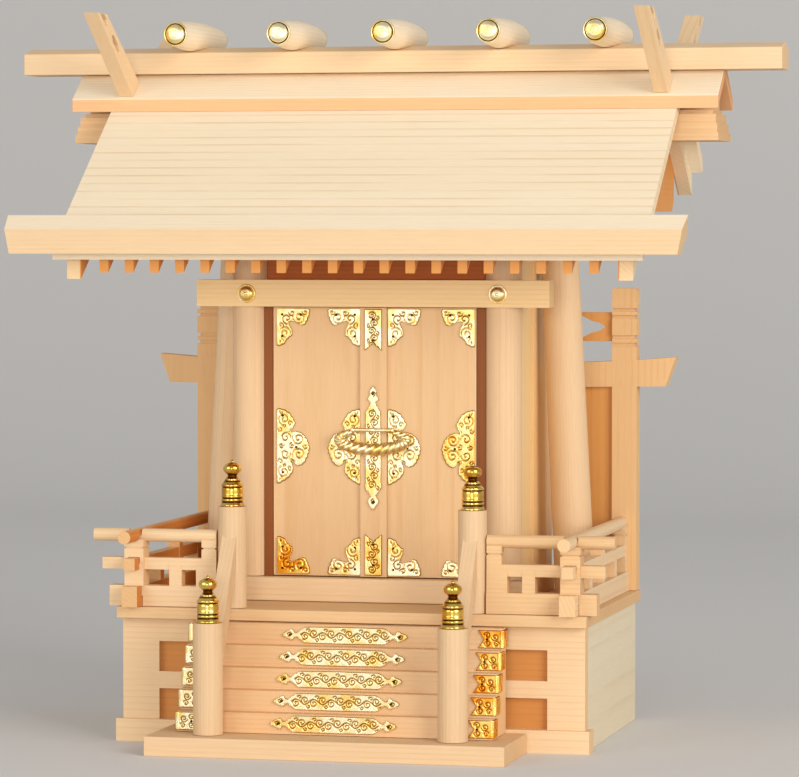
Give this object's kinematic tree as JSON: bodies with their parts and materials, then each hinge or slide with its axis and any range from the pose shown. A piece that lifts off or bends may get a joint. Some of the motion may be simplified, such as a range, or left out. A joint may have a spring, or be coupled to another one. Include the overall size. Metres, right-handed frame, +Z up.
{
  "type": "kamidana household altar",
  "caption": "Miniature wooden shrine with a gabled roof, raised veranda, stair and a pair of hinged doors into a hollow chamber.",
  "frame": {"origin": "middle of the footprint box, on the surface that the shrine stands on", "axes": "+X to the right, -Y is the front with the stair, +Z up"},
  "size_m": [0.5, 0.3151, 0.4599],
  "materials": {
    "hinoki": "planed bare softwood, satin",
    "brass": "pressed and gilt, polished"
  },
  "bodies": {
    "shrine": {"back_column_left": "hinoki", "back_column_right": "hinoki", "back_plate": "hinoki", "back_wall": "hinoki", "balustrade_front_left": "hinoki", "balustrade_front_right": "hinoki", "balustrade_side_left": "hinoki", "balustrade_side_right": "hinoki", "base_back": "hinoki", "base_front": "hinoki", "base_side_left": "hinoki", "base_side_right": "hinoki", "body_floor": "hinoki", "ceiling": "hinoki", "chigi_back_left": "hinoki", "chigi_back_right": "hinoki", "chigi_front_left": "hinoki", "chigi_front_right": "hinoki", "door_jamb_left": "hinoki", "door_jamb_right": "hinoki", "eave_board": "hinoki", "finial_lower_left": "brass", "finial_lower_right": "brass", "finial_upper_left": "brass", "finial_upper_right": "brass", "front_column_left": "hinoki", "front_column_right": "hinoki", "front_plate": "hinoki", "gable_left": "hinoki", "gable_right": "hinoki", "katsuogi_1": "hinoki", "katsuogi_2": "hinoki", "katsuogi_3": "hinoki", "katsuogi_4": "hinoki", "katsuogi_5": "hinoki", "lintel": "hinoki", "ridge_beam": "hinoki", "ridge_cap": "hinoki", "ridge_column_left": "hinoki", "ridge_column_right": "hinoki", "ridge_purlin": "hinoki", "roof_back": "hinoki", "roof_front": "hinoki", "side_screen_left": "hinoki", "side_screen_right": "hinoki", "side_wall_left": "hinoki", "side_wall_right": "hinoki", "stair": "hinoki", "stair_platform": "hinoki", "stair_rail_left": "hinoki", "stair_rail_right": "hinoki", "threshold": "hinoki", "veranda_floor": "hinoki"},
    "door_left": {"door_left": "hinoki", "door_lock": "brass"},
    "door_right": {"door_right": "hinoki"}
  },
  "joints": [
    {"name": "door_left_hinge", "type": "hinge", "parent": "shrine", "child": "door_left", "pos_m": [-0.0658, -0.02382, 0.185], "axis": [0, 0, -1], "range_deg": [0, 85]},
    {"name": "door_right_hinge", "type": "hinge", "parent": "shrine", "child": "door_right", "pos_m": [0.0658, -0.02382, 0.185], "axis": [0, 0, 1], "range_deg": [0, 85]}
  ],
  "couplings": [
    {"joint": "door_right_hinge", "follows": "door_left_hinge", "ratio": 1}
  ]
}
